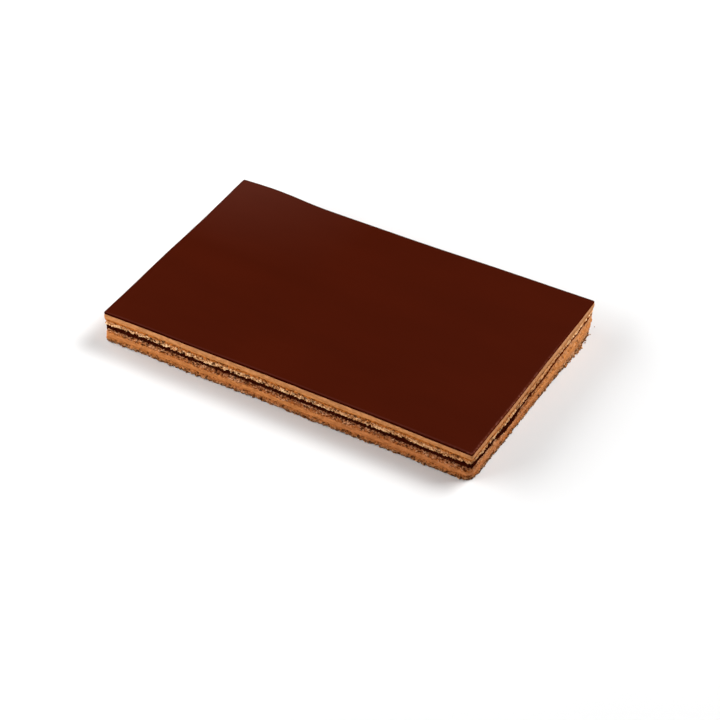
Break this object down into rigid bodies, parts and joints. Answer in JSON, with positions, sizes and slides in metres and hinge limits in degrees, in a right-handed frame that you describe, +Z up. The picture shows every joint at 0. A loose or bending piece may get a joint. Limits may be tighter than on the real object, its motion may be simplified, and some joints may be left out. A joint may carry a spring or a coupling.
{
  "type": "opera cake",
  "caption": "Whole rectangular opera cake: thin layers of almond sponge, coffee buttercream and ganache under a flat chocolate glaze, with cut sides.",
  "frame": {"origin": "middle of the base, on the plane the cake rests on", "axes": "+X along the long sides, +Y towards the back, +Z up; the front long side faces -Y"},
  "size_m": [0.3028, 0.1876, 0.0283],
  "materials": {
    "sponge_bottom": "matt soaked almond sponge",
    "buttercream_lower": "satin coffee buttercream",
    "sponge_middle": "matt soaked almond sponge",
    "ganache": "satin dark ganache",
    "sponge_upper": "matt almond sponge",
    "buttercream_upper": "satin coffee buttercream",
    "glaze": "smooth satin chocolate glaze"
  },
  "bodies": {
    "root": {"sponge_bottom": "sponge_bottom", "buttercream_lower": "buttercream_lower", "sponge_middle": "sponge_middle", "ganache": "ganache", "sponge_upper": "sponge_upper", "buttercream_upper": "buttercream_upper", "glaze": "glaze"}
  },
  "joints": []
}
